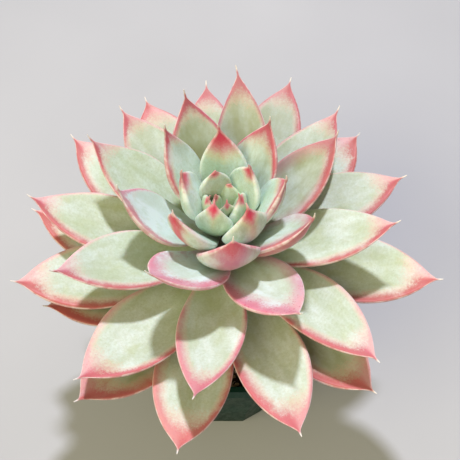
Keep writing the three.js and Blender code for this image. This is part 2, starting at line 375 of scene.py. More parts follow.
def lift_over(age, along, across, face, point, half):
    """Height of a leaf's skin over its middle line, in mm, without its ripple."""
    slim = smooth_step(age, *SLIMMING_AGES)
    hollow_share = blend(YOUNG_HOLLOW_SHARE, OLD_HOLLOW_SHARE, slim)
    thickness_share = blend(YOUNG_THICKNESS_SHARE, OLD_THICKNESS_SHARE, slim)
    side_share = np.abs(across)
    hollow = half * hollow_share * np.sin(np.pi * np.minimum(1, along * HOLLOW_END))
    thick = np.maximum(2 * point, half * thickness_share * (1 - THINNING * along))
    edge_drop = np.minimum(MARGIN_RADIUS, MARGIN_DROP_SHARE * thick)
    edge_share = np.minimum(WIDEST_MARGIN_SHARE, MARGIN_REACH * MARGIN_RADIUS / half)
    over_edge = np.clip((side_share - 1 + edge_share) / edge_share, 0, 1)
    keel_power = blend(*KEEL_POWERS, smooth_step(along, *KEEL_SHARPENING))
    keel = (1 - side_share**keel_power) ** KEEL_FULLNESS
    upper = hollow * side_share**UPPER_HOLLOW_POWER - edge_drop * (1 - np.sqrt(1 - over_edge**2))
    under = hollow * side_share**UNDER_HOLLOW_POWER - keel * thick - edge_drop * (1 - keel)
    return np.where(face > 0, under, upper) + thick * LIFT_SHARE


def leaf_surface(age):
    """Points in mm, rows from base to tip, and what the skin's colours need to know of each."""
    turn, out, up = DEPARTURES[age]
    habit = HABITS.get(age, {})
    reach = reach_of(age)
    node = node_height(age)
    base = np.array([max(LEAST_SEAT_RADIUS, stem_radius_at(node) - SEAT_DEPTH), node])
    tip = np.array([reach + out, dome_height(reach) + up])
    chord = tip - base
    length = float(np.hypot(*chord))

    along = (1 - (1 - np.linspace(0, 1, ALONG_STEPS + 1)) ** TIP_CROWDING)[:, None]
    across, face = section_places()
    to_tip = (1 - along) * length
    point, half = widths_along(age, along, length)
    ripple = ripple_over(age, along, across, face)
    rippled = RIPPLE_RELIEF * ripple * (half / FULL_HALF_WIDTH) * smooth_step(to_tip, *RIPPLE_FADE)
    upturn = TIP_UPTURN * np.clip(1 - to_tip / TIP_UPTURN_LENGTH, 0, 1) ** 2
    lift = lift_over(age, along, across, face, point, half) + rippled + upturn
    side = across * half * (1 + MARGIN_RIPPLE * ripple)
    roll = math.radians(habit.get("roll", 0))
    flat_side = side * math.cos(roll) - lift * math.sin(roll)
    lift = side * math.sin(roll) + lift * math.cos(roll)

    half_open = math.exp(-(((age - MOST_BENT_AGE) / BENT_AGES) ** 2))
    bend = math.radians(BEND + HALF_OPEN_BEND * half_open + habit.get("bend", 0))
    start = math.atan2(chord[1], chord[0]) - bend / 2
    pitch = start + bend * along
    arc = length / (2 * math.sin(bend / 2))
    outward = base[0] + arc * (np.sin(pitch) - math.sin(start))
    upward = base[1] - arc * (np.cos(pitch) - math.cos(start))
    radial = outward - lift * np.sin(pitch)
    height = upward + lift * np.cos(pitch)
    lean = habit.get("lean", smooth_step(age, *STRAIGHTENING_AGES))
    azimuth = azimuth_of(age) + math.radians(turn) * (lean + (1 - lean) * along**2)
    points = np.stack(
        [
            radial * np.cos(azimuth) - flat_side * np.sin(azimuth),
            radial * np.sin(azimuth) + flat_side * np.cos(azimuth),
            height,
        ],
        axis=-1,
    )
    facts = {
        "side": across * half,
        "across": across,
        "from_base": along * length,
        "along": along,
        "to_edge": (1 - np.abs(across)) * half,
        "to_tip": to_tip,
        "under": face,
    }
    return points, {name: np.broadcast_to(fact, points.shape[:2]) for name, fact in facts.items()}


# Meshes and pieces


def mesh_of(name, points, faces):
    mesh = bpy.data.meshes.new(name)
    mesh.from_pydata([tuple(p) for p in np.asarray(points).reshape(-1, 3) * MM], [], faces)
    mesh.update()
    return mesh


def object_of(name, mesh, material, slot, *nodes):
    piece = bpy.data.objects.new(name, mesh)
    bpy.context.scene.collection.objects.link(piece)
    mesh.materials.append(material)
    mesh.polygons.foreach_set("use_smooth", [True] * len(mesh.polygons))
    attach(piece, "root")
    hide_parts(*nodes)


def tube_faces(rows, ring):
    """Faces of a closed tube of rows of ring points, with both ends filled."""
    faces = []
    for row in range(rows - 1):
        for corner in range(ring):
            a = row * ring + corner
            b = row * ring + (corner + 1) % ring
            faces.append((a, a + ring, b + ring, b))
    last = (rows - 1) * ring
    faces.append(tuple(range(ring)))
    faces.append(tuple(last + corner for corner in reversed(range(ring))))
    return faces


def give_vectors(mesh, name, *columns):
    layer = mesh.attributes.new(name, "FLOAT_VECTOR", "POINT")
    values = np.stack([np.asarray(c, np.float32).reshape(-1) for c in columns], axis=-1)
    layer.data.foreach_set("vector", values.reshape(-1))


# Leaves

# The usual red margin and red point, in mm, of leaves of these ages
RED_AGES = (0, 5, 9, 14, 22, 34, 50)
RED_MARGINS = (0.01, 0.01, 0.1, 0.7, 1.2, 1.9, 2.6)
RED_POINTS = (5.2, 8.4, 10.2, 12, 14, 16, 18)

# Youth, for the skin's colours, is 1 at the youngest leaf and 0 at this age
END_OF_YOUTH = 30

# The red of a grown leaf: its share on every leaf, more on leaves pointing towards the viewer, and more
# on the side of a leaf nearer the viewer
SUNNED_AGE = 20
SUNNED_MARGIN = (0.8, 0.3, 0.4)
SUNNED_POINT_AGE = 12
SUNNED_POINT = (0.82, 0.2)
SIDE_SHARPNESS = 2.5

# Red margin along a leaf: its share at the base, and where it grows to the full, when young and old
MATURING_AGES = (18, 26)
MARGIN_AT_BASE = (0.15, 0.3)
MARGIN_GROWS_FROM = (0.3, 0.15)
MARGIN_FULL_AT = (0.95, 0.7)

# The streak down a back, and the lavender cast of the red on leaves with much bloom
USUAL_STREAK = 0.25
LAVENDER = 0.7
LAVENDER_BLOOM = (1.5, 2.6)

# How far apart the leaves lie in the skin's random patterns, in mm
SKIN_OFFSET = 37

# Looks of single leaves. As shares of the usual: the red margin's width at the left and the right,
# as seen from in front of the tip, the red point's length, and the bloom. As shares of the full:
# the red streak down the back, how far the leaf blushes pink, which on the oldest leaves is a
# red-brown that paints their shade, and how far it is dull green with duller red, partly its own
# colour and partly painted shade on leaves turned from the lamp or lying under others.
LOOKS = {
    2: {"point": 0.5},
    3: {"point": 0.85},
    5: {"point": 0.75},
    8: {"point": 1.2},
    9: {"streak": 0.4, "point": 1.1},
    10: {"dull": 0.15, "point": 1.7},
    11: {"left": 0.0, "right": 0.0, "streak": 0.9, "point": 1.3, "bloom": 1.5},
    12: {"left": 5.0, "streak": 0.4, "bloom": 1.5},
    13: {"left": 0.4, "right": 5.0, "bloom": 1.5, "dull": 0.3},
    14: {"left": 0.35, "right": 0.35, "streak": 0.3, "blush": 1.2, "bloom": 1.4, "point": 1.1},
    15: {"left": 2.6, "right": 1.4, "dull": 0.65, "point": 1.2},
    16: {"left": 1.6, "right": 4.2, "bloom": 3.2},
    17: {"left": 8.5, "streak": 0.5, "blush": 0.6, "bloom": 1.8},
    18: {"left": 1.5, "right": 1.8, "dull": 0.95, "bloom": 0.4},
    19: {"left": 1.0, "right": 3.8, "bloom": 2.6, "blush": 0.8, "point": 0.95},
    20: {"left": 2.6, "right": 0.8, "blush": 0.5, "dull": 0.75},
    22: {"left": 4.2, "right": 0.35, "bloom": 2.4, "blush": 0.9, "point": 1.15},
    23: {"dull": 0.9, "bloom": 0.4, "point": 1.2},
    24: {"bloom": 1.8},
    25: {"left": 1.15, "right": 0.5},
    26: {"dull": 0.25},
    27: {"left": 1.4, "right": 0.8, "bloom": 1.6},
    28: {"left": 0.5, "right": 0.8, "dull": 0.3},
    31: {"dull": 0.6},
    32: {"left": 1.1, "right": 0.65},
    33: {"left": 1.1, "right": 0.5, "dull": 0.2},
    35: {"left": 1.25, "right": 0.6},
    36: {"dull": 0.6},
    38: {"left": 1.1, "right": 0.6},
    39: {"dull": 0.4},
    40: {"left": 1.15, "right": 0.65},
    43: {"dull": 0.7, "blush": 0.4},
    45: {"dull": 0.8, "blush": 0.8},
    50: {"dull": 0.6, "blush": 0.6},
}


def red_of(age, facts):
    """Width of the red margin and length of the red point, in mm, and which side of a leaf pointing
    left or right is nearer the viewer.
    """
    look = LOOKS.get(age, {})
    across = facts["across"]
    azimuth = azimuth_of(age, DEPARTURES[age][0])
    sunny = -math.cos(azimuth) * np.clip(SIDE_SHARPNESS * across, -1, 1)
    near = max(0, -math.sin(azimuth))
    side_gain = np.where(across < 0, look.get("left", 1), look.get("right", 1))
    if age > SUNNED_AGE:
        always, by_nearness, by_near_side = SUNNED_MARGIN
        side_gain = side_gain * (always + by_nearness * near + by_near_side * sunny)
    red_point = float(np.interp(age, RED_AGES, RED_POINTS)) * look.get("point", 1)
    if age > SUNNED_POINT_AGE:
        always, by_nearness = SUNNED_POINT
        red_point *= always + by_nearness * near
    mature = smooth_step(age, *MATURING_AGES)
    grows_from = blend(*MARGIN_GROWS_FROM, mature)
    full_at = blend(*MARGIN_FULL_AT, mature)
    growth = smooth_step(facts["along"], grows_from, full_at)
    fullness = blend(blend(*MARGIN_AT_BASE, mature), 1, growth)
    margin = float(np.interp(age, RED_AGES, RED_MARGINS)) * side_gain * fullness
    return margin, red_point, sunny


def make_leaf(age, skin):
    points, facts = leaf_surface(age)
    rows, ring = points.shape[:2]
    bud = age < BUD_LEAVES
    name = f"bud_leaf_{age:02d}" if bud else f"fine_leaf_{age:02d}"
    mesh = mesh_of(name, points, tube_faces(rows, ring))
    look = LOOKS.get(age, {})
    margin, red_point, sunny = red_of(age, facts)
    flat = np.ones(facts["along"].shape)
    youth = flat * (1 - age / END_OF_YOUTH)
    bloom = look.get("bloom", 1)
    lavender = flat * LAVENDER * smooth_step(bloom, *LAVENDER_BLOOM)
    give_vectors(mesh, "place", facts["side"], facts["from_base"], flat * age * SKIN_OFFSET)
    give_vectors(mesh, "bounds", facts["to_edge"], facts["to_tip"], facts["under"])
    give_vectors(mesh, "red", margin, flat * red_point, flat * look.get("streak", USUAL_STREAK))
    give_vectors(mesh, "growth", youth, flat * look.get("blush", 0), flat * bloom)
    give_vectors(mesh, "tint_and_shade", flat * look.get("dull", 0), sunny, lavender)
    cad_node = "stem_and_bud" if bud else f"leaf_{age:02d}"
    slot = "young_leaf" if age < FIRST_OLD_LEAF else "old_leaf"
    object_of(name, mesh, skin, slot, cad_node)


# Materials


def tone(code):
    """Linear colour of a screen colour written as six hexadecimal digits."""
    parts = [int(code[i : i + 2], 16) / 255 for i in (0, 2, 4)]
    linear = [p / 12.92 if p <= 0.04045 else ((p + 0.055) / 1.055) ** 2.4 for p in parts]
    return (*linear, 1)


class Look:
    """A node material with one Principled shader."""

    def __init__(self, name, **settings):
        self.material = bpy.data.materials.new(name)
        self.material.use_nodes = True
        self.tree = self.material.node_tree
        self.tree.nodes.clear()
        self.shader = self.tree.nodes.new("ShaderNodeBsdfPrincipled")
        output = self.tree.nodes.new("ShaderNodeOutputMaterial")
        self.tree.links.new(self.shader.outputs[0], output.inputs["Surface"])
        for socket, value in settings.items():
            self.shader.inputs[socket.replace("_", " ")].default_value = value

    def feed(self, socket, value):
        """Gives a socket another node's output, a number or vector, or a colour's code."""
        if isinstance(value, bpy.types.NodeSocket):
            self.tree.links.new(value, socket)
        else:
            socket.default_value = tone(value) if isinstance(value, str) else value

    def node(self, kind, inputs=(), output=0, **settings):
        made = self.tree.nodes.new(kind)
        for key, value in settings.items():
            setattr(made, key, value)
        for key, value in dict(inputs).items():
            self.feed(made.inputs[key], value)
        return made.outputs[output]

    def math(self, operation, a, b=0.0, clamp=False):
        return self.node("ShaderNodeMath", {0: a, 1: b}, operation=operation, use_clamp=clamp)

    def plus(self, first, *terms, clamp=False):
        for term in terms:
            first = self.math("ADD", first, term, clamp)
        return first

    def times(self, first, *factors, clamp=False):
        for factor in factors:
            first = self.math("MULTIPLY", first, factor, clamp)
        return first

    def larger(self, a, b):
        return self.math("MAXIMUM", a, b)

    def span(self, value, low, high, to_low=0.0, to_high=1.0):
        """Eases from one value to another while the input goes from low to high."""
        inputs = {0: value, 1: low, 2: high, 3: to_low, 4: to_high}
        return self.node("ShaderNodeMapRange", inputs, interpolation_type="SMOOTHSTEP")

    def fade(self, value, low, high):
        return self.span(value, low, high, 1.0, 0.0)

    def split(self, vector):
        made = self.tree.nodes.new("ShaderNodeSeparateXYZ")
        self.feed(made.inputs[0], vector)
        return made.outputs[0], made.outputs[1], made.outputs[2]

    def vectors(self, name):
        return self.node("ShaderNodeAttribute", output="Vector", attribute_name=name)

    def object_place(self):
        return self.node("ShaderNodeTexCoord", output="Object")

    def scaled(self, vector, x, y, z):
        return self.node("ShaderNodeVectorMath", {0: vector, 1: (x, y, z)}, operation="MULTIPLY")

    def grain(self, vector, scale, detail=2.0, roughness=0.5):
        inputs = {"Vector": vector, "Scale": scale, "Detail": detail, "Roughness": roughness}
        return self.node("ShaderNodeTexNoise", inputs)

    def cells(self, vector, scale, output="Distance"):
        return self.node("ShaderNodeTexVoronoi", {"Vector": vector, "Scale": scale}, output=output)

    def ramp(self, value, *stops):
        made = self.tree.nodes.new("ShaderNodeValToRGB")
        elements = made.color_ramp.elements
        while len(elements) < len(stops):
            elements.new(0.5)
        for element, (place, code) in zip(elements, stops):
            element.position = place
            element.color = tone(code)
        self.feed(made.inputs[0], value)
        return made.outputs[0]

    def mix(self, share, a, b):
        made = self.tree.nodes.new("ShaderNodeMix")
        made.data_type = "RGBA"
        self.feed(made.inputs[0], share)
        self.feed(made.inputs[6], a)
        self.feed(made.inputs[7], b)
        return made.outputs[2]

    def bump(self, height, strength, distance, under=None):
        inputs = {"Strength": strength, "Distance": distance, "Height": height}
        if under is not None:
            inputs["Normal"] = under
        return self.node("ShaderNodeBump", inputs)

    def use(self, **sockets):
        for name, value in sockets.items():
            self.feed(self.shader.inputs[name.replace("_", " ")], value)


# Tones of the leaf skin: stops of ramps, and single tones that are mixed in
OLD_FACE = ((0.3, "BECAB2"), (0.5, "CCD7CE"), (0.7, "DAE3E0"))
YOUNG_FACE = ((0.3, "B8DAD6"), (0.5, "CAE7E6"), (0.7, "DCF0F2"))
OLD_BACK = ((0.3, "CDB394"), (0.6, "D0C8A4"))
YOUNG_BACK = ((0.3, "C2DACA"), (0.6, "D4E8DA"))
# Olive near a leaf's base: partly its own colour, partly painted shade from the leaves above
BASE_GREEN_AND_SHADE = "AEBA78"
CLOUD_OLIVE = "B7BF84"
RUBBED_GREEN = "9DAC74"
PORE_GREEN = "8C9A63"
# Dull olive: partly the leaf's own colour, partly painted shade on leaves turned from the lamp or under
# others
DULL_AND_SHADE_GREEN = "8E9068"
MOTTLE_GREEN = "9BA67C"
OLD_HALO = "E6C8B8"
YOUNG_HALO = "DCE0A8"
# Red-brown on the oldest, lowest leaves: painted shade under the leaves above
OLD_SHADE_BROWN = "B0704C"
YOUNG_BLUSH = "CC749C"
OLDEST_RED = ((0.15, "DEC5AE"), (0.5, "D8978A"), (0.9, "CA665C"))
OLD_RED = ((0.15, "DEC4BC"), (0.5, "D4969E"), (0.9, "CC6E80"))
YOUNG_RED = ((0.15, "EAC2B4"), (0.5, "E8708E"), (0.85, "DE3860"))
LAVENDER_RED = "E68CB2"
LAVENDER_OUTSKIRTS = "DDB0CE"
SHADED_RED = "EFCDCF"
# Duller red on the same leaves, as painted shade
DULL_AND_SHADE_RED = "A8646E"
NEAR_EDGE_SHADE_RED = "B6605E"
# Deeper red on the near edges of leaves pointing left or right, which face away from the lamp: painted
# shade
PORE_RED = "B23C58"
DOT_RED = "C23A64"
# Pale edge line: partly the leaf's own pale margin, partly a painted highlight along its rounded edge
OLD_PALE_EDGE_AND_HIGHLIGHT = "F2E0E2"
YOUNG_PALE_EDGE_AND_HIGHLIGHT = "E6F0E6"
HORN = "FAF0EC"
BLOOM = "DCEBEE"


class LeafSkin(Look):
    """Waxy leaf skin: mint when young and cream green when old, with pores, rubbed bloom, a red point,
    red margins with a pale edge line, and a red streak down the back. Some of its colour is painted
    light and shade: olive near the base, dull green and red on leaves turned from the lamp or under
    others, red-brown on the oldest leaves, deeper red on edges turned from the lamp, and a highlight
    in the pale edge line."""

    def __init__(self):
        super().__init__(
            "leaf_skin",
            Subsurface_Weight=0.12,
            Subsurface_Radius=(1.0, 0.6, 0.3),
            Subsurface_Scale=0.0022,
            Specular_IOR_Level=0.35,
            Sheen_Weight=0.12,
            Sheen_Roughness=0.5,
        )
        self.place = self.vectors("place")
        self.side, self.from_base, _ = self.split(self.place)
        self.to_edge, self.to_tip, self.under = self.split(self.vectors("bounds"))
        self.margin, self.red_point, self.streak = self.split(self.vectors("red"))
        self.youth, self.blush, self.bloom = self.split(self.vectors("growth"))
        self.dull, self.sunny, self.lavender = self.split(self.vectors("tint_and_shade"))
        self.off_middle = self.math("ABSOLUTE", self.side)
        self.upper = self.math("SUBTRACT", 1.0, self.under)

        self.broad = self.grain(self.scaled(self.place, 1, 0.5, 1), 0.11, 3, 0.55)
        self.streaks = self.grain(self.scaled(self.place, 1, 0.4, 1), 0.45, 4, 0.6)
        self.mottle = self.grain(self.place, 1.1, 3, 0.65)
        self.fine = self.grain(self.place, 2.6, 3, 0.7)
        pores = self.fade(self.cells(self.place, 1.15), 0.12, 0.32)
        self.pores = self.times(pores, self.span(self.fine, 0.45, 0.7))
        self.jitter = self.math("SUBTRACT", self.fine, 0.5)
        self.wobble = self.wobble_of_borders()
        self.tip_place = self.place_by_tip()
        self.red = self.red_share()

        colour = self.blushed(self.haloed(self.green()))
        colour = self.reddened(colour)
        colour = self.edged(colour)
        bloom_patch = self.bloom_patches()
        colour = self.bloomed(colour, bloom_patch)
        roughness = self.span(bloom_patch, 0.0, 0.8, 0.42, 0.62)
        relief = self.plus(self.times(self.fine, 0.5), self.times(self.pores, -0.6))
        relief = self.plus(relief, self.times(self.streaks, 0.4))
        normal = self.bump(relief, 0.35, 0.00025)
        self.use(Base_Color=colour, Roughness=roughness, Normal=normal)

    def green(self):
        """Mint to cream green, olive near the base and in clouds, with rubbed streaks and pores. The
        olive near the base is partly the leaf's own colour and partly painted shade from the leaves
        above; the dull green is painted shade on leaves turned from the lamp or lying under others, and
        partly their own olive.
        """
        youth = self.youth
        old_face = self.ramp(self.broad, *OLD_FACE)
        young_face = self.ramp(self.broad, *YOUNG_FACE)
        face = self.mix(self.span(youth, 0.15, 0.75), old_face, young_face)
        old_back = self.ramp(self.streaks, *OLD_BACK)
        young_back = self.ramp(self.streaks, *YOUNG_BACK)
        back = self.mix(self.span(youth, 0.2, 0.7), old_back, young_back)
        green = self.mix(self.under, face, back)
        # Olive towards the base: partly the leaf's own colour, partly painted shade from the leaves
        # above
        base_and_shade = self.fade(self.from_base, 4, self.span(youth, 0.1, 0.4, 40, 26))
        green = self.mix(self.times(base_and_shade, 0.55), green, BASE_GREEN_AND_SHADE)
        cloud = self.grain(self.scaled(self.place, 1, 0.7, 1), 0.17, 4, 0.6)
        olive = self.times(self.span(cloud, 0.5, 0.68), self.span(youth, 0.0, 0.5, 0.32, 0.1))
        green = self.mix(olive, green, CLOUD_OLIVE)
        rubbed = self.times(self.fade(self.streaks, 0.4, 0.64), 0.15)
        green = self.mix(rubbed, green, RUBBED_GREEN)
        green = self.mix(self.times(self.pores, 0.6), green, PORE_GREEN)
        # Painted shade, partly the leaf's own olive: dull green on leaves turned from the lamp or under
        # others
        dull_patch = self.times(self.dull, self.span(self.broad, 0.25, 0.6, 1.0, 0.55))
        green = self.mix(dull_patch, green, DULL_AND_SHADE_GREEN)
        return self.mix(self.span(self.mottle, 0.35, 0.65, 0.24, 0.0), green, MOTTLE_GREEN)

    def wobble_of_borders(self):
        """Random shift of the red's borders, smaller on young leaves."""
        slow = self.math("SUBTRACT", self.streaks, 0.5)
        coarse = self.math("SUBTRACT", self.mottle, 0.5)
        wobble = self.plus(self.times(self.jitter, 1.3), self.times(slow, 0.5), self.times(coarse, 1.1))
        return self.times(wobble, self.span(self.youth, 0.35, 0.75, 1.0, 0.25))

    def place_by_tip(self):
        """0 at the tip and about 1 at the end of the red point, which runs out along the middle."""
        in_bud = self.span(self.youth, 0.56, 0.63, -0.6, 0.4)
        when_old = self.span(self.youth, 0.15, 0.4, 0.5, 0.0)
        upper_slant = self.plus(in_bud, when_old)
        slant = self.plus(self.times(self.upper, upper_slant), self.under)
        place = self.plus(self.to_tip, self.times(self.off_middle, slant))
        place = self.math("DIVIDE", place, self.red_point)
        return self.plus(place, self.times(self.wobble, 0.45))

    def red_share(self):
        """How red the skin is: by its margins, its tip and the streak down its back."""
        edge_place = self.math("DIVIDE", self.to_edge, self.larger(self.margin, 0.05))
        edge_place = self.plus(edge_place, self.times(self.wobble, 0.8))
        uneven = self.grain(self.scaled(self.place, 0.4, 1, 1), 0.12, 2, 0.5)
        by_edge = self.times(
            self.fade(edge_place, -0.1, 2.6),
            self.span(self.margin, 0.06, 0.4),
            self.span(uneven, 0.34, 0.56, 0.68, 1.0),
        )
        tip_from = self.span(self.youth, 0.5, 0.8, 0.2, 0.3)
        tip_to = self.span(self.youth, 0.5, 0.8, 1.25, 1.05)
        by_tip = self.fade(self.tip_place, tip_from, tip_to)
        red = self.larger(by_edge, by_tip)
        red = self.plus(red, self.times(by_edge, by_tip, 0.5), clamp=True)
        keel_place = self.math("DIVIDE", self.off_middle, self.red_point)
        keel_place = self.plus(keel_place, self.times(self.wobble, 0.12))
        keel_band = self.times(self.fade(keel_place, 0.0, 0.36), self.fade(self.tip_place, 0.6, 1.9))
        return self.larger(red, self.times(keel_band, self.under, self.streak))

    def haloed(self, colour):
        """A pale zone where the red sets in."""
        halo = self.times(self.span(self.red, 0.02, 0.3), self.fade(self.red, 0.35, 0.7))
        halo_tone = self.mix(self.span(self.youth, 0.35, 0.7), OLD_HALO, YOUNG_HALO)
        halo_share = self.span(self.youth, 0.35, 0.7, 0.3, 0.35)
        return self.mix(self.times(halo, halo_share), colour, halo_tone)

    def blushed(self, colour):
        """Pink that spreads in from the margins, and over the back towards the tip. On the oldest
        leaves it is a red-brown that paints their shade under the leaves above.
        """
        from_edge = self.plus(self.to_edge, self.times(self.wobble, 2.0))
        edge_blush = self.times(self.fade(from_edge, 0.5, 6.5), self.upper)
        back_blush = self.times(self.under, self.fade(self.tip_place, 0.5, 2.6))
        back_blush = self.times(back_blush, self.span(self.off_middle, 2.0, 12.0, 1.0, 0.15))
        share = self.times(self.larger(edge_blush, back_blush), self.blush, 0.95)
        # Pink when young; on the oldest leaves a red-brown that is painted shade
        blush_tone = self.mix(self.span(self.youth, -0.6, 0.0), OLD_SHADE_BROWN, YOUNG_BLUSH)
        return self.mix(share, colour, blush_tone)

    def red_tone(self):
        """Crimson when young and coral when old, paler on the far side of leaves pointing left or
        right, duller on dull leaves as painted shade, and deeper on the near side, where the deeper red
        is painted shade on edges turned from the lamp.
        """
        red, youth = self.red, self.youth
        old_red = self.ramp(red, *OLD_RED)
        oldest_red = self.ramp(red, *OLDEST_RED)
        young_red = self.ramp(red, *YOUNG_RED)
        old_red = self.mix(self.span(youth, -0.55, 0.15, 0.85, 0.0), old_red, oldest_red)
        made = self.mix(self.span(youth, 0.3, 0.75), old_red, young_red)
        made = self.mix(self.times(self.lavender, 0.7), made, LAVENDER_RED)
        outskirts = self.times(self.fade(red, 0.35, 0.8), self.lavender)
        made = self.mix(outskirts, made, LAVENDER_OUTSKIRTS)
        shaded = self.mix(self.times(self.fade(self.sunny, -0.9, 0.4), 0.65), made, SHADED_RED)
        made = self.mix(self.span(youth, 0.25, 0.4), shaded, made)
        # Painted shade: duller red on the dull leaves
        made = self.mix(self.times(self.dull, 0.5), made, DULL_AND_SHADE_RED)
        # Painted shade: deeper red on the near edges of side leaves, turned from the lamp
        near_edge_shade = self.times(self.span(self.sunny, 0.2, 1.0, 0.0, 0.6), self.span(red, 0.4, 0.9))
        return self.mix(near_edge_shade, made, NEAR_EDGE_SHADE_RED)

    def reddened(self, colour):
        """Lays the red on, speckled where it is thin, with redder pores and dots."""
        red = self.red
        speckled = self.plus(red, self.times(self.jitter, self.span(red, 0.02, 0.5, 0.0, 0.5)))
        colour = self.mix(self.span(speckled, 0.0, 1.0), colour, self.red_tone())
        red_pores = self.times(self.pores, self.span(red, 0.1, 0.5, 0.0, 0.4))
        colour = self.mix(red_pores, colour, PORE_RED)
        dots = self.times(
            self.fade(self.cells(self.place, 0.95), 0.16, 0.4),
            self.span(self.mottle, 0.4, 0.58),
            self.span(red, 0.02, 0.25),
            self.span(self.lavender, 0.1, 0.6, 0.25, 0.85),
        )
        return self.mix(dots, colour, DOT_RED)

    def edged(self, colour):
        """A pale line along the margin, partly the leaf's own pale margin and partly a painted
        highlight on its rounded edge, and a pale horny point.
        """
        line = self.times(
            self.fade(self.to_edge, 0.1, self.span(self.youth, 0.4, 0.8, 0.36, 1.2)),
            self.span(self.to_tip, 1.0, 5.0),
            self.span(self.streaks, 0.38, 0.6, 0.25, 0.75),
        )
        edge_and_highlight_tone = self.mix(self.span(self.youth, 0.4, 0.8), OLD_PALE_EDGE_AND_HIGHLIGHT, YOUNG_PALE_EDGE_AND_HIGHLIGHT)
        colour = self.mix(line, colour, edge_and_highlight_tone)
        horn = self.times(self.fade(self.to_tip, 0.9, 2.8), self.span(self.youth, 0.5, 0.85, 1.0, 0.25))
        return self.mix(horn, colour, HORN)

    def bloom_patches(self):
        patch = self.times(self.span(self.broad, 0.4, 0.68), self.span(self.streaks, 0.3, 0.6))
        return self.plus(patch, self.span(self.bloom, 1.0, 3.2, 0.0, 0.4))

    def bloomed(self, colour, bloom_patch):
        """Waxy bloom, rubbed off in places and thin over the red."""
        share = self.times(bloom_patch, self.span(self.youth, 0.0, 0.7, 0.16, 0.42), self.bloom)
        share = self.times(share, self.span(self.red, 0.3, 0.8, 1.0, 0.3), clamp=True)
        return self.mix(share, colour, BLOOM)


def pot_plastic():
    """Moulded green plastic: fine moulding grain, faint flow marks, scuffs and splashed soil."""
    look = Look("green_plastic", Specular_IOR_Level=0.16)
    where = look.object_place()
    cloud = look.grain(where, 45, 4, 0.55)
    scuff = look.grain(look.scaled(where, 1, 1, 0.25), 420, 5, 0.7)
    dust = look.grain(where, 150, 5, 0.65)
    colour = look.ramp(cloud, (0.3, "0A2C25"), (0.7, "113A31"))
    colour = look.mix(look.times(look.span(scuff, 0.6, 0.78), 0.14), colour, "5F8A7E")
    _, _, height = look.split(where)
    splashed = look.span(height, 0.0, 0.03, 0.4, 0.06)
    colour = look.mix(look.times(look.span(dust, 0.52, 0.72), splashed), colour, "6B5E4C")
    roughness = look.span(scuff, 0.3, 0.75, 0.42, 0.62)
    normal = look.bump(look.grain(where, 2600, 2, 0.5), 0.25, 0.0001)
    normal = look.bump(scuff, 0.15, 0.0002, normal)
    look.use(Base_Color=colour, Roughness=roughness, Normal=normal)
    return look.material


def soil_mix():
    """Potting mix: dark crumbs, partly their own colour and partly painted shade under the rosette,
    with bark, sand and pale perlite.
    """
    look = Look("potting_mix", Roughness=0.95, Specular_IOR_Level=0.2)
    where = look.object_place()
    crumb = look.grain(where, 520, 6, 0.7)
    grit = look.tree.nodes.new("ShaderNodeSeparateColor")
    look.feed(grit.inputs[0], look.cells(where, 700, output="Color"))
    # Dark crumb tones: the mix's own dark brown, darkened further as painted shade under the rosette
    colour = look.ramp(crumb, (0.3, "17110E"), (0.5, "30231A"), (0.72, "52402F"))
    colour = look.mix(look.span(grit.outputs[0], 0.86, 0.9), colour, "8E7A60")
    colour = look.mix(look.span(grit.outputs[1], 0.95, 0.97), colour, "CFC8BA")
    look.use(Base_Color=colour, Normal=look.bump(crumb, 0.8, 0.0008))
    return look.material


def stem_bark():
    """Fleshy green-brown stem, corky towards the soil."""
    look = Look(
        "stem_bark",
        Roughness=0.75,
        Specular_IOR_Level=0.3,
        Subsurface_Weight=0.05,
        Subsurface_Scale=0.002,
    )
    where = look.object_place()
    fibre = look.grain(look.scaled(where, 1, 1, 0.2), 600, 5, 0.65)
    patch = look.grain(where, 160, 3, 0.6)
    green = look.ramp(fibre, (0.3, "7C8456"), (0.7, "A8AC7C"))
    cork = look.ramp(fibre, (0.3, "4E3B2A"), (0.55, "7A6248"), (0.75, "A08A6C"))
    _, _, height = look.split(where)
    height = look.plus(height, look.times(look.math("SUBTRACT", patch, 0.5), 0.03))
    colour = look.mix(look.span(height, 0.084, 0.104), cork, green)
    look.use(Base_Color=colour, Normal=look.bump(fibre, 0.6, 0.0004))
    return look.material


# Pot: the CAD solid with its edges eased


def dress_pot(material):
    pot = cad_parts["pot"]
    pot.data.materials.clear()
    pot.data.materials.append(material)
    easing = pot.modifiers.new("eased_edges", "BEVEL")
    easing.width = EDGE_EASING * MM
    easing.segments = EDGE_EASING_STEPS
    easing.limit_method = "ANGLE"
    easing.angle_limit = math.radians(EDGE_EASING_FROM_ANGLE)


# Soil


def wall_radius_at(height):
    """Radius at the corners of the pot's outside, below its rim band."""
    under_rim = POT_TOP_RADIUS - RIM_OVERHANG
    return POT_FOOT_RADIUS + (under_rim - POT_FOOT_RADIUS) / (POT_HEIGHT - RIM_HEIGHT) * height


def mound_height(share):
    return SOIL_TOP - SOIL_MOUND * smooth_step(share, *MOUND_SLOPE)


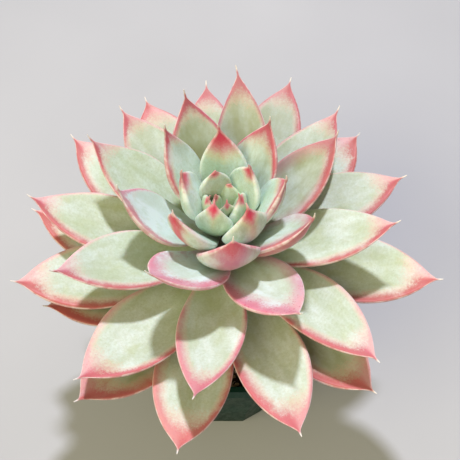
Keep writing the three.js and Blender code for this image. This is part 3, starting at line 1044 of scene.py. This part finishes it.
def make_soil(material):
    edge = wall_radius_at(SOIL_TOP - SOIL_MOUND) - POT_WALL - SOIL_CLEARANCE
    bottom = wall_radius_at(SOIL_BOTTOM) - POT_WALL - SOIL_CLEARANCE
    half_side = math.pi / POT_SIDES
    points = []
    for ring in range(SOIL_RINGS + 1):
        share = ring / SOIL_RINGS
        for angle in angles_round(SOIL_SPOKES):
            facet = (angle + half_side) % (2 * half_side) - half_side
            radius = edge * math.cos(half_side) / math.cos(facet) * max(INNERMOST_RING, share)
            spot = Vector((radius * math.cos(angle), radius * math.sin(angle), 0))
            clods = CLOD_SHARE * noise.fractal(spot * CLOD_FREQUENCY, 0.8, 2.0, 5)
            crumbs = CRUMB_SHARE * noise.noise(spot * CRUMB_FREQUENCY)
            height = mound_height(share) + (clods + crumbs) * SOIL_ROUGHNESS
            points.append((spot.x, spot.y, height))
    for corner_radius in (bottom, SOIL_BOTTOM_HOLE):
        radius = corner_radius * math.cos(half_side)
        for angle in angles_round(SOIL_SPOKES):
            points.append((radius * math.cos(angle), radius * math.sin(angle), SOIL_BOTTOM))
    mesh = mesh_of("potting_mix", points, tube_faces(SOIL_RINGS + 3, SOIL_SPOKES))
    object_of("potting_mix", mesh, material, "soil", "soil")


def make_grains(material):
    """Crumbs, bark and perlite lying on the soil, joined in one piece."""
    draw = random.Random(GRAIN_SEED)
    made = bmesh.new()
    edge = wall_radius_at(SOIL_TOP) - WALL_MARGIN
    for _ in range(GRAINS):
        radius = edge * math.sqrt(draw.random())
        if radius < ROOT_RADIUS + STEM_MARGIN:
            continue
        angle = draw.uniform(0, 2 * math.pi)
        size = draw.choice(GRAIN_RADII) * draw.uniform(*GRAIN_SPREAD)
        height = mound_height(radius / edge) + GRAIN_RISE * size
        spot = Matrix.Translation((radius * math.cos(angle), radius * math.sin(angle), height))
        turn = Euler([draw.uniform(0, GRAIN_TURN) for _ in range(3)]).to_matrix().to_4x4()
        breadth = size * draw.uniform(*GRAIN_BREADTH)
        thickness = size * draw.uniform(*GRAIN_THICKNESS)
        stretch = Matrix.Diagonal((size, breadth, thickness, 1))
        new = bmesh.ops.create_icosphere(made, subdivisions=1, radius=1, matrix=spot @ turn @ stretch)
        for vertex in new["verts"]:
            shift = [draw.uniform(-GRAIN_ROUGHNESS, GRAIN_ROUGHNESS) * size for _ in range(3)]
            vertex.co += Vector(shift)
    for vertex in made.verts:
        vertex.co *= MM
    mesh = bpy.data.meshes.new("soil_grains")
    made.to_mesh(mesh)
    made.free()
    object_of("soil_grains", mesh, material, "soil", "soil")


# Stem


def scar_relief(angle, height, radius):
    """Rim and pit of the nearest scar of a fallen leaf, in mm over the stem's face."""
    relief = 0.0
    for age in range(*SCARRED_AGES):
        off = (angle - azimuth_of(age) + math.pi) % (2 * math.pi) - math.pi
        up = height - node_height(age)
        spread = (off * radius / SCAR_WIDTH) ** 2 + (up / SCAR_HEIGHT) ** 2
        rim = SCAR_RIM * math.exp(-((spread - 1) ** 2) * SCAR_SHARPNESS)
        pit = SCAR_PIT * math.exp(-spread * SCAR_SHARPNESS)
        relief = max(relief, rim - pit)
    return relief


def make_stem(material):
    """A short stem with the scars of fallen leaves on the same spiral."""
    root = np.linspace(ROOT_TIP, STEM_NECK, ROOT_STEPS)
    neck = np.linspace(STEM_NECK + 1, STEM_TOP, NECK_STEPS)
    heights = np.concatenate([root, neck])
    points = []
    for height in heights:
        if height <= STEM_NECK:
            radius = blend(ROOT_RADIUS, STEM_NECK_RADIUS, smooth_step(height, SOIL_TOP, STEM_NECK))
        else:
            radius = stem_radius_at(height)
        for angle in angles_round(STEM_SPOKES):
            across = (STEM_WAVES_ROUND * math.cos(angle), STEM_WAVES_ROUND * math.sin(angle))
            wave = STEM_WAVE * noise.noise(Vector((*across, height * STEM_WAVES_UP)))
            scar = scar_relief(angle, height, radius) if height < SCAR_TOP else 0
            full = radius + scar + wave
            points.append((full * math.cos(angle), full * math.sin(angle), height))
    mesh = mesh_of("stem", points, tube_faces(len(heights), STEM_SPOKES))
    object_of("stem", mesh, material, "stem", "stem_and_bud")


# Stage, in metres and watts

FLOOR_REACH = 3.0
WORLD_COLOUR = (1.0, 0.96, 0.82, 1)
WORLD_STRENGTH = 0.31
LAMPS = {
    "key": {
        "place": (0.022, 0.42, 1.34),
        "target": (0, 0, 0.11),
        "size": 0.1,
        "power": 15.2,
        "colour": (0.97, 0.98, 1.05),
    },
    "fill": {
        "place": (-0.7, -0.8, 1.0),
        "target": (0, 0, 0.1),
        "size": 1.2,
        "power": 12,
        "colour": (1.0, 0.92, 0.5),
    },
}

# Camera, fitted to the photograph: where it looks, from how high in degrees and how far
CAMERA_TARGET = (2.8, 0, 113.5)
CAMERA_RISE = 58
CAMERA_DISTANCE = 297
FOCAL_PIXELS = 825
FRAME_PIXELS = 460
SENSOR_WIDTH = 36
NEAREST_SEEN = 0.01


def make_floor():
    far = FLOOR_REACH
    corners = [(-far, -far, 0), (far, -far, 0), (far, far, 0), (-far, far, 0)]
    mesh = bpy.data.meshes.new("floor")
    mesh.from_pydata(corners, [], [(0, 1, 2, 3)])
    floor = bpy.data.objects.new("floor", mesh)
    bpy.context.scene.collection.objects.link(floor)
    look = Look("pale_floor", Roughness=0.8, Specular_IOR_Level=0.2)
    cloud = look.grain(look.object_place(), 6, 3, 0.5)
    look.use(Base_Color=look.ramp(cloud, (0.3, "B6B6BE"), (0.7, "BEBEC6")))
    mesh.materials.append(look.material)


def make_world():
    world = bpy.data.worlds.new("studio")
    world.use_nodes = True
    background = world.node_tree.nodes["Background"]
    background.inputs[0].default_value = WORLD_COLOUR
    background.inputs[1].default_value = WORLD_STRENGTH
    bpy.context.scene.world = world


def make_lamp(name, place, target, size, power, colour):
    data = bpy.data.lights.new(name, "AREA")
    data.shape = "DISK"
    data.size = size
    data.energy = power
    data.color = colour
    lamp = bpy.data.objects.new(name, data)
    lamp.location = place
    lamp.rotation_euler = (Vector(target) - Vector(place)).to_track_quat("-Z", "Y").to_euler()
    bpy.context.scene.collection.objects.link(lamp)


def make_camera():
    """Looks down onto the rosette from the photograph's viewing angle."""
    rise = math.radians(CAMERA_RISE)
    away = Vector((0, -math.cos(rise), math.sin(rise)))
    data = bpy.data.cameras.new("camera")
    data.sensor_width = SENSOR_WIDTH
    data.lens = FOCAL_PIXELS / FRAME_PIXELS * SENSOR_WIDTH
    data.clip_start = NEAREST_SEEN
    camera = bpy.data.objects.new("camera", data)
    camera.location = Vector(CAMERA_TARGET) * MM + away * (CAMERA_DISTANCE * MM)
    camera.rotation_euler = (math.pi / 2 - rise, 0, 0)
    bpy.context.scene.collection.objects.link(camera)
    bpy.context.scene.camera = camera


make_camera()
make_floor()
make_world()
for name, lamp in LAMPS.items():
    make_lamp(name, **lamp)
bpy.context.scene.view_settings.view_transform = "Standard"

skin = LeafSkin().material
for age in range(OLDEST_LEAF + 1):
    if age not in FALLEN_LEAVES:
        make_leaf(age, skin)
make_stem(stem_bark())
soil = soil_mix()
make_soil(soil)
make_grains(soil)
dress_pot(pot_plastic())
